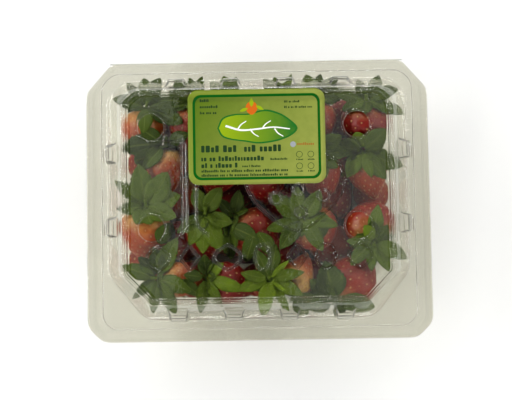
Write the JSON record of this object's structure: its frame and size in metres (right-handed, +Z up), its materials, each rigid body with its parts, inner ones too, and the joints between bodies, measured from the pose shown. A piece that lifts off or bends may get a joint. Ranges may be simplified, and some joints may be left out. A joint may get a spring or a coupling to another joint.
{
  "type": "punnet of strawberries",
  "caption": "Clear hinged plastic punnet with a vented domed lid and a paper label, filled with a heap of leafy strawberries.",
  "frame": {"origin": "under the middle of the pack's outline, on the surface it stands on", "axes": "+X to the right along the hinge, +Y towards the hinge at the back, +Z up"},
  "size_m": [0.1726, 0.1404, 0.0466],
  "materials": {
    "clear_plastic": "thin clear thermoformed film, glossy",
    "label": "coated paper printed in greens, satin",
    "berries": "ripe red fruit with pale seeds, soft gloss",
    "leaves": "green leaf, satin"
  },
  "bodies": {
    "tray": {"tray": "clear_plastic", "berries": "berries"},
    "lid": {"lid": "clear_plastic", "label": "label"}
  },
  "joints": [
    {"name": "lid_hinge", "type": "hinge", "parent": "tray", "child": "lid", "pos_m": [0, 0.0702, 0.03], "axis": [-1, 0, 0], "range_deg": [0, 180]}
  ]
}
